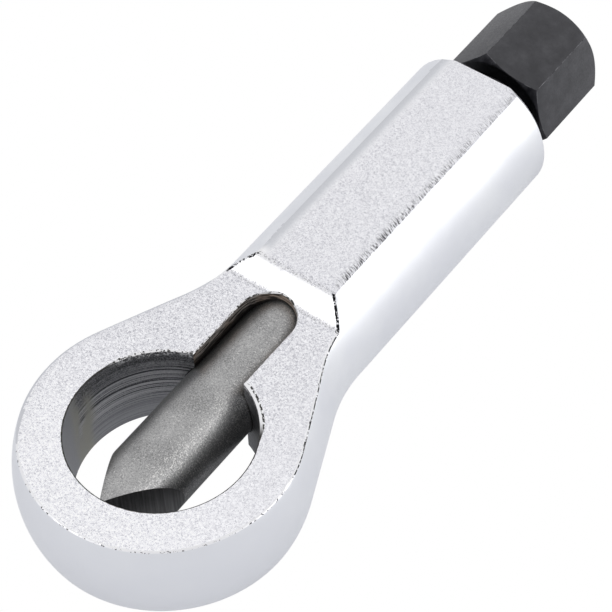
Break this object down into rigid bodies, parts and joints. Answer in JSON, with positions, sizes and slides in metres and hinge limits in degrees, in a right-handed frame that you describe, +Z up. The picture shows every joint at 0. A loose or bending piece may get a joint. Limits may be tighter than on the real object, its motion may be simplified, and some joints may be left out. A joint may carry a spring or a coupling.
{
  "type": "nut splitter",
  "caption": "Nut splitter with a forged eye on a flatted shank, and a hex-headed screw that presses a wedge chisel across the eye.",
  "frame": {"origin": "on the surface that the tool lies on, under the middle of its overall length and width", "axes": "+Y along the tool from the eye to the hex head, +Z up through the pressed faces, +X across the eye"},
  "size_m": [0.043, 0.1212, 0.0208],
  "materials": {
    "plated_forging": "satin bright plating, pebbled on the pressed faces and smooth on the sides",
    "chisel_steel": "matt hardened tool steel with ground cutting faces",
    "ball_steel": "polished bearing steel",
    "black_oxide": "black oxide, slightly oiled"
  },
  "bodies": {
    "frame": {"frame": "plated_forging"},
    "chisel": {"chisel": "chisel_steel", "thrust_ball": "ball_steel"},
    "screw": {"pressure_screw": "black_oxide"}
  },
  "joints": [
    {"name": "chisel_slide", "type": "slide", "parent": "frame", "child": "chisel", "axis": [0, 1, 0], "range_m": [0, 0.027]},
    {"name": "screw_turn", "type": "hinge", "parent": "chisel", "child": "screw", "pos_m": [0, 0.04455, 0.0104], "axis": [0, 1, 0], "range_deg": [0, 6480]}
  ],
  "couplings": [
    {"joint": "screw_turn", "follows": "chisel_slide", "rad_per_m": 4188.8}
  ]
}
